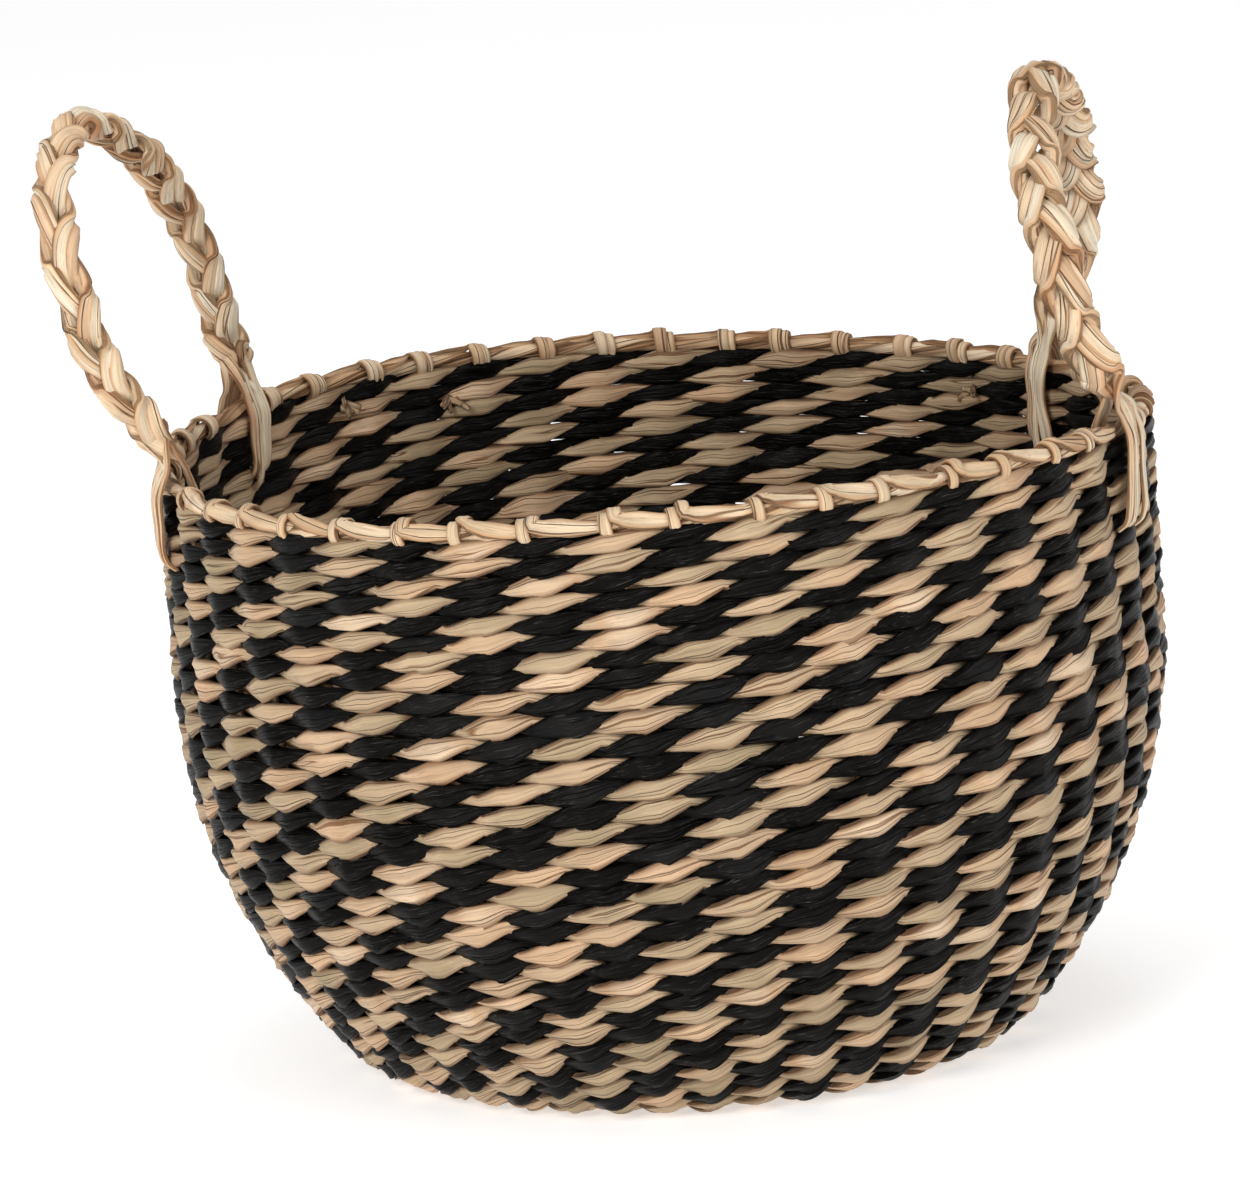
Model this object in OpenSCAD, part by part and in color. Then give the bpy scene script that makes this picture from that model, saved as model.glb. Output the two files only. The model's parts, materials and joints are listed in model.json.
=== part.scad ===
// Round market basket, twined from rush in two colours, with two braided carrying handles.
// +Z is up and the base stands on z = 0. The handles are at -X (left) and +X (right).

/* [Basket] */
// Outer diameter of the wall
basket_d = 350; // [310:1:430]
// Height of the rim cord's centre above the base
rim_height = 217; // [195:1:262]
// Height of the upright stretch below the rim cord's centre
upright_h = 77; // [64:1:93]
// Radius of the wall's round flank, seen from the side
flank_r = 200; // [170:1:240]
// Radius of the turn from the flat base into the wall
corner_r = 20; // [16:1:24]

/* [Weave] */
// Height of one weft row
row_pitch = 7.4; // [6:0.1:9]
// Thickness of the wefts on each side of the stakes
weft_t = 3; // [2.4:0.1:3.6]
// Depth of the groove between two rows
groove = 1; // [0.6:0.1:1.4]
// Number of stakes, always odd, so that every row steps by one stake
stake_count = 45; // [37:2:53]
// Width of a stake
stake_w = 4.5; // [3.5:0.1:5.4]
// Thickness of a stake
stake_t = 2; // [1.6:0.1:2.4]
// Radius of the hub where the stakes meet under the floor
hub_r = 20; // [18:1:26]

/* [Rim] */
// Radius of the rim cord
cord_r = 3; // [2.4:0.1:3.6]
// Radius of the stake ends that are looped over the rim cord
loop_r = 1.2; // [0.9:0.1:1.5]

/* [Handles] */
// Height of the left handle's crown above its fold line
left_rise = 112; // [90:1:135]
// Direction of the left handle's middle, seen from above
left_turn = 170.6; // [165:0.1:180]
// Half the angle between the left handle's two legs
left_half = 20.6; // [17:0.1:30]
// Height of the right handle's crown above its fold line
right_rise = 104; // [85:1:125]
// Direction of the right handle's middle, seen from above
right_turn = 4.3; // [-5:0.1:10]
// Half the angle between the right handle's two legs
right_half = 27.3; // [20:0.1:33]
// Radius of one strand of the braid
strand_r = 2.4; // [2:0.1:2.5]
// Half the sideways swing of a strand
braid_swing = 5; // [5:0.1:6]
// Half the in-and-out swing of a strand
braid_depth = 3.6; // [3.6:0.1:4.2]
// Length in which one strand crosses the braid and comes back
braid_pitch = 52; // [46:1:60]

/* [Tails] */
// Width of one tail strip
tail_w = 5.6; // [4:0.1:6.5]
// Thickness of a tail strip
tail_t = 2.2; // [1.6:0.1:2.8]
// How far the tails reach down the wall, below the rim cord's centre
tail_drop = 30; // [20:1:40]

/* [Hidden] */
// Room between pieces of one body
gap = 0.2;
// Room between the tails and what they lie on
tail_gap = 0.3;
// Room between the folding braid's ends and the tails
fold_gap = 0.6;
// The braid's thickness at its ends, as a share of its full thickness
end_share = 0.7;
// Length over which the braid grows to its full thickness
end_length = 14;
// Strips in one group of tails
tail_count = 3;
// Angle that a stake's end turns through over the rim cord
loop_turn = 230;
// Steps along the corner and the flank in the stakes' outline
corner_steps = 6;
flank_steps = 16;
// Rings along one strand and sides round it
ring_count = 76;
strand_sides = 8;

basket_r = basket_d / 2;
wall_t = 2 * weft_t + stake_t + 2 * gap;
flank_h = rim_height - upright_h;
flank_turn = acos((flank_h - corner_r) / (flank_r - corner_r));
flat_r = basket_r - flank_r + (flank_r - corner_r) * sin(flank_turn);
corner_length = corner_r * flank_turn * PI / 180;
flank_length = flank_r * (90 - flank_turn) * PI / 180;
wall_top = rim_height - cord_r - gap;
wall_length = corner_length + flank_length + wall_top - flank_h;
rows = round(wall_length / row_pitch);
row_h = wall_length / rows;
base_rows = round((flat_r - hub_r - 2 * gap) / row_pitch);
base_row_w = (flat_r - hub_r - 2 * gap) / base_rows;
rim_r = basket_r - wall_t / 2;
stake_in = weft_t + gap;
stake_out = stake_in + stake_t;
inner_face = stake_out + gap;
added_start_r = stake_count * (stake_w + 1) / (2 * PI) + 2;
tail_inner_r = wall_t / 2 + tail_gap;
tail_outer_r = tail_inner_r + tail_t;
tail_centre_z = rim_height + cord_r + tail_gap - tail_inner_r;
braid_end_r = (braid_swing + strand_r) * end_share;
fold_height = tail_centre_z + tail_outer_r + fold_gap + braid_end_r;

// The handles' centre lines: along the fold line in half-spans, outward and upward in rises
LEFT_SHAPE = [
    [-1, 0, 0], [-1.19, 0.16, 0.27], [-1.18, 0.27, 0.64], [-0.94, 0.30, 0.89], [-0.43, 0.25, 1],
    [0.22, 0.16, 0.84], [0.78, 0.10, 0.52], [1.02, 0.05, 0.18], [1, 0, 0]
];
RIGHT_SHAPE = [
    [-1, 0, 0], [-1.06, -0.08, 0.18], [-1.04, -0.15, 0.49], [-0.84, -0.18, 0.76], [-0.41, -0.14, 0.96],
    [0, -0.05, 0.99], [0.63, 0.10, 0.72], [0.99, 0.15, 0.32], [1, 0, 0]
];

RUSH = "burlywood";
DARK_RUSH = "dimgray";
LIGHT_RUSH = "wheat";

// A point of the wall's outline: s runs up from the edge of the flat base, depth goes inward
function outline(s, depth) =
    s < 0 ? [flat_r + s, depth]
    : s < corner_length ? arc_point([flat_r, corner_r], corner_r - depth, s / corner_r * 180 / PI)
    : s < corner_length + flank_length
        ? arc_point([basket_r - flank_r, flank_h], flank_r - depth,
                    flank_turn + (s - corner_length) / flank_r * 180 / PI)
    : [basket_r - depth, flank_h + s - corner_length - flank_length];

// A point on a round outline whose tangent has turned up by an angle from level
function arc_point(centre, r, turn) = centre + r * [sin(turn), -cos(turn)];

// The places along the wall where a smooth outline needs a point
function smooth_steps() = concat(
    [for (i = [0 : corner_steps - 1]) corner_length * i / corner_steps],
    [for (i = [0 : flank_steps]) corner_length + flank_length * i / flank_steps],
    [wall_length]);

// The wall's smooth face at a depth, from the base up
function smooth_face(depth) = [for (s = smooth_steps()) outline(s, depth)];

// The wall's ribbed face: each row has a flat crown, and a groove parts it from the next
function ribbed_face(crown, valley) = concat(
    [for (i = [0 : rows - 1]) each [
        outline(i * row_h, valley),
        outline((i + 0.3) * row_h, crown),
        outline((i + 0.7) * row_h, crown)
    ]],
    [outline(wall_length, valley)]);

function backwards(list) = [for (i = [len(list) - 1 : -1 : 0]) list[i]];

module base_hub() {
    color(LIGHT_RUSH) cylinder(r = hub_r, h = wall_t, $fn = 48);
}

module base_weave_under() {
    color(LIGHT_RUSH) rotate_extrude($fn = 96)
        polygon([[hub_r + gap, 0], [flat_r - gap, 0], [flat_r - gap, weft_t], [hub_r + gap, weft_t]]);
}

module base_weave_top() {
    start_r = hub_r + gap;
    color(RUSH) rotate_extrude($fn = 96)
        polygon(concat(
            [[flat_r - gap, inner_face], [flat_r - gap, wall_t - groove]],
            [for (i = [base_rows - 1 : -1 : 0]) each [
                [start_r + (i + 0.7) * base_row_w, wall_t],
                [start_r + (i + 0.3) * base_row_w, wall_t],
                [start_r + i * base_row_w, wall_t - groove]
            ]],
            [[start_r, inner_face]]));
}

// A flat blade that runs out along the floor from a radius and up inside the wall to the rim
module stake(start_r) {
    floor_start = start_r - flat_r;
    rotate([90, 0, 0]) linear_extrude(stake_w, center = true)
        polygon(concat(
            [outline(floor_start, stake_in)], smooth_face(stake_in),
            backwards(smooth_face(stake_out)), [outline(floor_start, stake_out)]));
}

module stakes_main() {
    color(RUSH) for (i = [0 : 2 : stake_count - 2])
        rotate(stake_angle(i)) stake(hub_r + gap);
}

module stakes_added() {
    color(LIGHT_RUSH) for (i = concat([for (k = [1 : 2 : stake_count - 1]) k], [stake_count - 1]))
        rotate(stake_angle(i)) stake(added_start_r);
}

function stake_angle(i) = 360 * i / stake_count;

module wall_weave_outer() {
    color(DARK_RUSH) rotate_extrude($fn = 120)
        polygon(concat(ribbed_face(0, groove), backwards(smooth_face(weft_t))));
}

module wall_weave_inner() {
    color(RUSH) rotate_extrude($fn = 120)
        polygon(concat(smooth_face(inner_face), backwards(ribbed_face(wall_t, wall_t - groove))));
}

module rim_cord() {
    color(LIGHT_RUSH) translate([0, 0, rim_height]) rotate_extrude($fn = 96)
        translate([rim_r, 0]) circle(r = cord_r, $fn = 24);
}

// One stake's end, hooked over the rim cord
module rim_loop() {
    translate([rim_r, 0, rim_height]) rotate([90, loop_turn / 2 - 90, 0])
        rotate_extrude(angle = loop_turn, $fn = 48)
            translate([cord_r + gap + loop_r, 0]) circle(r = loop_r, $fn = 8);
}

module rim_loops() {
    color(RUSH) for (i = [0 : stake_count - 1])
        if (clear_of_tails(stake_angle(i))) rotate(stake_angle(i)) rim_loop();
}

// The four places where a leg crosses the rim
LEG_ANGLES = [left_turn + left_half, left_turn - left_half,
              right_turn - right_half, right_turn + right_half];
tail_step = (tail_w + 2 * gap) / rim_r * 180 / PI;
tails_half = tail_step * tail_count / 2 + (loop_r + gap) / rim_r * 180 / PI;

function clear_of_tails(angle) =
    min([for (leg = LEG_ANGLES) acos(cos(angle - leg))]) > tails_half;

// One strip that lies over the rim, down the outside and down the inside of the wall
module tail_strip() {
    drop = tail_drop - rim_height + tail_centre_z;
    translate([rim_r, 0, tail_centre_z]) rotate([90, 0, 0])
        linear_extrude(tail_w, center = true) difference() {
            union() {
                circle(r = tail_outer_r, $fn = 48);
                translate([-tail_outer_r, -drop]) square([2 * tail_outer_r, drop]);
            }
            circle(r = tail_inner_r, $fn = 48);
            translate([-tail_inner_r, -drop - 1]) square([2 * tail_inner_r, drop + 1]);
        }
}

module tails(leg) {
    color(LIGHT_RUSH) for (i = [0 : tail_count - 1])
        rotate(leg + (i - (tail_count - 1) / 2) * tail_step) tail_strip();
}

module left_front_tails() {
    tails(LEG_ANGLES[0]);
}

module left_back_tails() {
    tails(LEG_ANGLES[1]);
}

module right_front_tails() {
    tails(LEG_ANGLES[2]);
}

module right_back_tails() {
    tails(LEG_ANGLES[3]);
}

function unit(v) = v / norm(v);

// The point at t between p1 and p2 on a smooth curve that also passes p0 and p3
function between(p0, p1, p2, p3, t) = (2 * p1 + (p2 - p0) * t
    + (2 * p0 - 5 * p1 + 4 * p2 - p3) * t * t + (3 * p1 - p0 - 3 * p2 + p3) * t * t * t) / 2;

// A smooth curve through a list of points, in a number of points of its own
function smooth_curve(p, count) = let (last = len(p) - 1)
    [for (i = [0 : count - 1])
        let (u = i / (count - 1) * last, k = min(floor(u), last - 1))
        between(k == 0 ? 2 * p[0] - p[1] : p[k - 1], p[k], p[k + 1],
                k + 2 > last ? 2 * p[last] - p[last - 1] : p[k + 2], u - k)];

// The length along a curve up to each of its points
function lengths(p) = [for (i = 0, l = 0; i < len(p);
    i = i + 1, l = i < len(p) ? l + norm(p[i] - p[i - 1]) : l) l];

function direction(p, i) = unit(p[min(i + 1, len(p) - 1)] - p[max(i - 1, 0)]);

// A handle's centre line from its front leg to its back leg
function handle_line(shape, front, back, rise) =
    let (a = rim_r * [cos(front), sin(front)], b = rim_r * [cos(back), sin(back)],
         middle = (a + b) / 2, along = (b - a) / 2, out = unit(middle))
    smooth_curve([for (s = shape)
        let (flat = middle + s[0] * along + s[1] * rise * out)
        [flat[0], flat[1], fold_height + s[2] * rise]], ring_count);

// How thick the braid is at a length along it
function thickness_share(l, total) =
    let (t = min(l, total - l, end_length) / end_length) end_share + (1 - end_share) * t;

// The centre line of one strand of a braid
function strand_line(line, out, phase) =
    let (l = lengths(line), total = l[len(l) - 1])
    [for (i = [0 : len(line) - 1])
        let (along = direction(line, i), side = unit(out - (out * along) * along),
             face = cross(along, side), turn = 360 * l[i] / braid_pitch + phase,
             share = thickness_share(l[i], total))
        line[i] + share * (braid_swing * sin(turn) * side + braid_depth * sin(2 * turn) * face)];

// A closed tube along a line, with a radius at each of its points
module tube(line, radii, up) {
    last = len(line) - 1;
    points = [for (i = [0 : last])
        let (along = direction(line, i), side = unit(up - (up * along) * along),
             face = cross(along, side))
        for (k = [0 : strand_sides - 1])
            line[i] + radii[i] * (cos(360 * k / strand_sides) * side
                                  + sin(360 * k / strand_sides) * face)];
    walls = [for (i = [0 : last - 1], k = [0 : strand_sides - 1])
        let (a = i * strand_sides + k, b = i * strand_sides + (k + 1) % strand_sides)
        each [[a, a + strand_sides, b], [b, a + strand_sides, b + strand_sides]]];
    polyhedron(points, concat(
        [[for (k = [0 : strand_sides - 1]) k]],
        walls,
        [[for (k = [strand_sides - 1 : -1 : 0]) last * strand_sides + k]]));
}

module strand(shape, front, back, rise, phase) {
    line = handle_line(shape, front, back, rise);
    out = unit([cos(front) + cos(back), sin(front) + sin(back), 0]);
    l = lengths(line);
    radii = [for (d = l) strand_r * thickness_share(d, l[len(l) - 1])];
    tube(strand_line(line, out, phase), radii, out);
}

module left_strand(phase) {
    color(LIGHT_RUSH) strand(LEFT_SHAPE, LEG_ANGLES[0], LEG_ANGLES[1], left_rise, phase);
}

module right_strand(phase) {
    color(LIGHT_RUSH) strand(RIGHT_SHAPE, LEG_ANGLES[2], LEG_ANGLES[3], right_rise, phase);
}

base_hub();
base_weave_under();
base_weave_top();
stakes_main();
stakes_added();
wall_weave_outer();
wall_weave_inner();
rim_cord();
rim_loops();
left_front_tails();
left_back_tails();
right_front_tails();
right_back_tails();
left_strand(0);  // left_strand_a
left_strand(120);  // left_strand_b
left_strand(240);  // left_strand_c
right_strand(0);  // right_strand_a
right_strand(120);  // right_strand_b
right_strand(240);  // right_strand_c
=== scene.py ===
"""Looks of the woven market basket: twined rush wefts, stakes, rim and braided handles.

Every length is in metres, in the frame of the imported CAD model: the base stands on z = 0, +Z is up,
and the handles are at -X (left) and +X (right).
"""
import json

import bpy
import numpy as np
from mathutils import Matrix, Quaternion, Vector


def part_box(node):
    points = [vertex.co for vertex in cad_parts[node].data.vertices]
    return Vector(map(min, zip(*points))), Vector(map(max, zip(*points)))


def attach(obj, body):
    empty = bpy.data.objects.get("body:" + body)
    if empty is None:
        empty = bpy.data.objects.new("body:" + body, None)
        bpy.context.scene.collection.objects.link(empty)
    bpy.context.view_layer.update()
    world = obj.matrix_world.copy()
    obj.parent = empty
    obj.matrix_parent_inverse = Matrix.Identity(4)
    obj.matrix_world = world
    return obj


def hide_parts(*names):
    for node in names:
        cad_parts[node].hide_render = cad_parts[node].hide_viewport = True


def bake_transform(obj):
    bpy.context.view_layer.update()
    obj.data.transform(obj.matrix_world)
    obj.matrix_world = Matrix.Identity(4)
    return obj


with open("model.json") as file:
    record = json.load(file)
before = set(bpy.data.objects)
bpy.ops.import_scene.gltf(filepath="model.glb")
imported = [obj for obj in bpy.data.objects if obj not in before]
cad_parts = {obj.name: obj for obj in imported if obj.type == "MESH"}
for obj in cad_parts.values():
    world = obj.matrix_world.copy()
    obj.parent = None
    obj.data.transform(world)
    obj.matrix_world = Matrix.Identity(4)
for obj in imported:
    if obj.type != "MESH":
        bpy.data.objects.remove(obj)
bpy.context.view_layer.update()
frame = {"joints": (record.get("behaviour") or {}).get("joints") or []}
MM = 0.001

# ---------------------------------------------------------------- camera, lights and floor

CAMERA_ELEVATION = np.radians(10.5)
CAMERA_ROLL = np.radians(4.0)
CAMERA_DISTANCE = 2.394
CAMERA_LENS_MM = 198.15
AIM_FROM_RIM = Vector((-0.0158, 0.0, -0.0580))
FLOOR_REACH = 30.0
# The floor lies just under the base, so that the two never share a plane
FLOOR_DROP = 0.5 * MM


def add_camera(rim_z):
    """A long lens, a little above the rim and rolled, so that the basket's right side sits higher."""
    data = bpy.data.cameras.new("camera")
    data.sensor_width = 36.0
    data.lens = CAMERA_LENS_MM
    data.clip_end = 50.0
    camera = bpy.data.objects.new("camera", data)
    bpy.context.scene.collection.objects.link(camera)
    rim_centre = Vector((0, 0, rim_z))
    back = Vector((0, -np.cos(CAMERA_ELEVATION), np.sin(CAMERA_ELEVATION)))
    camera.location = rim_centre + CAMERA_DISTANCE * back
    look = rim_centre + AIM_FROM_RIM - camera.location
    turn = look.to_track_quat("-Z", "Y")
    roll = Quaternion((0, 0, 1), -CAMERA_ROLL)
    camera.rotation_mode = "QUATERNION"
    camera.rotation_quaternion = turn @ roll
    bpy.context.scene.camera = camera


def add_light(name, place, target, size, power):
    data = bpy.data.lights.new(name, "AREA")
    data.shape = "DISK"
    data.size = size
    data.energy = power
    light = bpy.data.objects.new(name, data)
    light.location = place
    light.rotation_mode = "QUATERNION"
    light.rotation_quaternion = (Vector(target) - Vector(place)).to_track_quat("-Z", "Y")
    bpy.context.scene.collection.objects.link(light)


def add_studio():
    """A white floor under soft light from the front left, the front right and above."""
    scene = bpy.context.scene
    scene.view_settings.view_transform = "Standard"
    world = bpy.data.worlds.new("studio")
    world.use_nodes = True
    background = world.node_tree.nodes["Background"]
    background.inputs["Color"].default_value = (1.0, 1.0, 1.0, 1.0)
    background.inputs["Strength"].default_value = 0.5
    scene.world = world
    add_light("key", place=(-1.1, -2.3, 1.5), target=(0, 0, 0.12), size=1.1, power=36)
    add_light("fill", place=(1.8, -1.8, 1.2), target=(0, 0, 0.12), size=1.2, power=14)
    add_light("top", place=(0.1, 0.5, 2.4), target=(0, 0, 0.1), size=1.2, power=8)

    mesh = bpy.data.meshes.new("floor")
    reach = FLOOR_REACH
    corners = [(-reach, -reach, 0), (reach, -reach, 0), (reach, reach, 0), (-reach, reach, 0)]
    mesh.from_pydata(corners, [], [(0, 1, 2, 3)])
    floor = bpy.data.objects.new("floor", mesh)
    scene.collection.objects.link(floor)
    white = bpy.data.materials.new("floor_white")
    white.use_nodes = True
    shader = white.node_tree.nodes["Principled BSDF"]
    shader.inputs["Base Color"].default_value = (0.86, 0.86, 0.86, 1.0)
    shader.inputs["Roughness"].default_value = 0.9
    shader.inputs["Emission Color"].default_value = (1.0, 1.0, 1.0, 1.0)
    shader.inputs["Emission Strength"].default_value = 0.5
    mesh.materials.append(white)
    floor.location.z = -FLOOR_DROP


# ---------------------------------------------------------------- sizes, from the frame

# The wall's round flank and the corner at its foot, as in the CAD model
FLANK_R = 0.200
CORNER_R = 0.020
STAKES = 45
# Height of one row of twining
ROW_H = 7.4 * MM

WALL_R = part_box("wall_weave_outer")[1].x
WALL_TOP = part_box("wall_weave_outer")[1].z
WALL_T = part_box("base_weave_top")[1].z
FLAT_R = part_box("base_weave_under")[1].x
HUB_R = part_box("base_hub")[1].x
CORD_R = (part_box("rim_cord")[1].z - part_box("rim_cord")[0].z) / 2
RIM_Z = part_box("rim_cord")[1].z - CORD_R
RIM_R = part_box("rim_cord")[1].x - CORD_R

FLANK_TURN = np.arcsin((FLAT_R - WALL_R + FLANK_R) / (FLANK_R - CORNER_R))
FLANK_H = CORNER_R + (FLANK_R - CORNER_R) * np.cos(FLANK_TURN)
CORNER_LENGTH = CORNER_R * FLANK_TURN
FLANK_LENGTH = FLANK_R * (np.pi / 2 - FLANK_TURN)
WALL_LENGTH = CORNER_LENGTH + FLANK_LENGTH + WALL_TOP - FLANK_H
MID_WALL = -WALL_T / 2

# How far round the stakes lean between the base and the rim
STAKE_LEAN = np.radians(8)
# The rim dips and rises a little, as a soft rim does
RIM_DIP = 3.2 * MM
RIM_DIP_TURN = np.radians(35)
# The dip is whole up to this height over the rim, and fades out over the next length
RIM_DIP_WHOLE = 6 * MM
RIM_DIP_FADE = 26 * MM


def outline(s):
    """The wall's outer face at a length s up from the flat base: radius, height and tangent angle."""
    turn = np.where(s < CORNER_LENGTH, s / CORNER_R, FLANK_TURN + (s - CORNER_LENGTH) / FLANK_R)
    turn = np.clip(turn, 0, np.pi / 2)
    on_corner = s < CORNER_LENGTH
    radius = np.where(on_corner, CORNER_R, FLANK_R)
    centre_r = np.where(on_corner, FLAT_R, WALL_R - FLANK_R)
    centre_z = np.where(on_corner, CORNER_R, FLANK_H)
    straight = np.maximum(s - CORNER_LENGTH - FLANK_LENGTH, 0)
    r = centre_r + radius * np.sin(turn) + np.minimum(s, 0)
    z = centre_z - radius * np.cos(turn) + straight
    return r, z, turn


def wall_point(angle, s, out):
    """Points at an angle round the basket, a length up its wall and a distance out from its outer
    face, with the outward and the upward direction there."""
    r, z, turn = outline(s)
    spoke = np.stack([np.cos(angle), np.sin(angle), np.zeros_like(angle)], -1)
    up_axis = np.array([0.0, 0.0, 1.0])
    outward = spoke * np.sin(turn)[:, None] - up_axis * np.cos(turn)[:, None]
    upward = spoke * np.cos(turn)[:, None] + up_axis * np.sin(turn)[:, None]
    point = spoke * r[:, None] + up_axis * z[:, None] + outward * out[:, None]
    return point, outward, upward


def settle(points):
    """Dips the soft rim a little, which fades out down the wall and up the handles."""
    z = points[..., 2]
    angle = np.arctan2(points[..., 1], points[..., 0])
    below = np.clip(z / RIM_Z, 0, 1) ** 3
    above = np.clip(1 - (z - RIM_Z - RIM_DIP_WHOLE) / RIM_DIP_FADE, 0, 1)
    moved = points.copy()
    moved[..., 2] -= RIM_DIP * np.cos(2 * (angle - RIM_DIP_TURN)) * below * above
    return moved


# ---------------------------------------------------------------- blades of rush

# Below 1, a blade's section has fuller shoulders than an ellipse
SHOULDER = 0.65
# How strongly a blade's lumps show in its width and in its thickness
LUMPS_IN_WIDTH = 0.5
LUMPS_IN_THICKNESS = 1.6
# Keeps the grain of a blade's two faces apart, in metres of grain
FACE_GRAIN_STEP = 0.05
# Each blade reads its own stretch of the grain, which starts somewhere in these lengths
GRAIN_LENGTH = 50
GRAIN_WIDTH = 1


def smooth_noise(rng, tracks, count, spacing):
    """Random values from -1 to 1 along each of several tracks, which change once per spacing."""
    knots = max(int(np.ceil(count / spacing)) + 2, 3)
    values = rng.uniform(-1, 1, (knots, tracks))
    at = np.arange(count) / spacing
    low = at.astype(int)
    t = (at - low)[:, None]
    t = t * t * (3 - 2 * t)
    return values[low] * (1 - t) + values[low + 1] * t


def unit(v):
    return v / np.maximum(np.linalg.norm(v, axis=-1, keepdims=True), 1e-12)


def lengths_along(points):
    steps = np.linalg.norm(np.diff(points, axis=0), axis=1)
    return np.concatenate([[0], np.cumsum(steps)])


def blade(rng, centre, normal, half_width, half_thick, sides=12, lumps=0.16, lump_length=9, tone=None,
          grain_width=None):
    """One flattened, creased blade along a line of points. Returns its rings of points and, for the
    material, how far along and across the blade each point is, its tone, and how near an edge it is."""
    count = len(centre)
    half_width = np.broadcast_to(half_width, count)
    half_thick = np.broadcast_to(half_thick, count)
    tangent = unit(np.gradient(centre, axis=0))
    side = unit(np.cross(tangent, normal))
    normal = np.cross(side, tangent)
    turn = 2 * np.pi * (np.arange(sides) + 0.5) / sides
    across = np.sign(np.cos(turn)) * np.abs(np.cos(turn)) ** SHOULDER
    depth = np.sign(np.sin(turn)) * np.abs(np.sin(turn)) ** SHOULDER
    bumps = smooth_noise(rng, sides, count, lump_length)
    pulls = smooth_noise(rng, sides, count, lump_length)
    x = half_width[:, None] * across * (1 + LUMPS_IN_WIDTH * lumps * pulls)
    y = half_thick[:, None] * (depth + lumps * LUMPS_IN_THICKNESS * bumps)
    rings = centre[:, None] + x[..., None] * side[:, None] + y[..., None] * normal[:, None]
    along = np.repeat(lengths_along(centre)[:, None], sides, 1) + rng.uniform(0, GRAIN_LENGTH)
    if grain_width is None:
        grain_width = half_width.mean()
    wide = grain_width * np.broadcast_to(across, x.shape)
    wide = wide + np.where(depth > 0, 0.0, FACE_GRAIN_STEP) + rng.uniform(0, GRAIN_WIDTH)
    if tone is None:
        tone = 0.5 + 0.5 * smooth_noise(rng, 1, count, 4 * lump_length)[:, 0]
    tone = np.repeat(np.broadcast_to(tone, count)[:, None], sides, 1)
    edge = np.broadcast_to(np.abs(across), x.shape)
    return rings, np.stack([along, wide, tone, edge], -1)


def mesh_of_blades(name, blades, material):
    """One mesh of several closed blades, with the grain attribute that the rush material reads."""
    points, grain, loops, sizes = [], [], [], []
    start = 0
    for rings, rings_grain in blades:
        count, sides = rings.shape[:2]
        points.append(rings.reshape(-1, 3))
        grain.append(rings_grain.reshape(-1, 4))
        a = start + np.arange((count - 1) * sides).reshape(count - 1, sides)
        b = np.roll(a, -1, axis=1)
        quads = np.stack([a, b, b + sides, a + sides], -1).reshape(-1)
        first = start + np.arange(sides)[::-1]
        last = start + (count - 1) * sides + np.arange(sides)
        loops += [quads, first, last]
        sizes += [np.full(len(quads) // 4, 4), [sides], [sides]]
        start += count * sides
    points = settle(np.concatenate(points))
    loops = np.concatenate(loops)
    sizes = np.concatenate(sizes)
    mesh = bpy.data.meshes.new(name)
    mesh.vertices.add(len(points))
    mesh.vertices.foreach_set("co", points.astype(np.float32).ravel())
    mesh.loops.add(len(loops))
    mesh.loops.foreach_set("vertex_index", loops.astype(np.int32))
    mesh.polygons.add(len(sizes))
    mesh.polygons.foreach_set("loop_start", np.concatenate([[0], np.cumsum(sizes)[:-1]]).astype(np.int32))
    mesh.update(calc_edges=True)
    mesh.validate()
    mesh.shade_smooth()
    grain = np.concatenate(grain).astype(np.float32)
    attribute = mesh.attributes.new("grain", "FLOAT_VECTOR", "POINT")
    attribute.data.foreach_set("vector", grain[:, :3].ravel())
    attribute = mesh.attributes.new("edge", "FLOAT", "POINT")
    attribute.data.foreach_set("value", grain[:, 3].ravel())
    mesh.materials.append(material)
    thing = bpy.data.objects.new(name, mesh)
    bpy.context.scene.collection.objects.link(thing)
    return thing


# ---------------------------------------------------------------- materials

FIBRE_DEPTH = 0.4 * MM
CREASE_DEPTH = 0.6 * MM
# How far the roughness falls and rises from its middle value with the fibres
SMOOTHEST = 0.1
ROUGHEST = 0.12


def node(tree, kind, **settings):
    made = tree.nodes.new(kind)
    for key, value in settings.items():
        setattr(made, key, value)
    return made


def streaks(tree, grain, along, across, detail, drift=3.0):
    """Noise drawn out along the blade, at a number of features per metre along and across it. drift is
    how much it changes with the blade's tone."""
    scaled = node(tree, "ShaderNodeVectorMath", operation="MULTIPLY")
    scaled.inputs[1].default_value = (along, across, drift)
    tree.links.new(grain, scaled.inputs[0])
    noise = node(tree, "ShaderNodeTexNoise")
    noise.inputs["Scale"].default_value = 1.0
    noise.inputs["Detail"].default_value = detail
    noise.inputs["Roughness"].default_value = 0.6
    tree.links.new(scaled.outputs[0], noise.inputs["Vector"])
    return noise.outputs["Fac"]


def crease_lines(tree, value, width):
    """Thin long lines where a stretched noise crosses its middle: 0 in a crease, 1 beside it."""
    from_middle = node(tree, "ShaderNodeMath", operation="SUBTRACT")
    from_middle.inputs[1].default_value = 0.5
    tree.links.new(value, from_middle.inputs[0])
    size = node(tree, "ShaderNodeMath", operation="ABSOLUTE")
    tree.links.new(from_middle.outputs[0], size.inputs[0])
    line = node(tree, "ShaderNodeMapRange", interpolation_type="SMOOTHSTEP")
    line.inputs["From Max"].default_value = width
    tree.links.new(size.outputs[0], line.inputs["Value"])
    return line.outputs["Result"]


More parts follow.
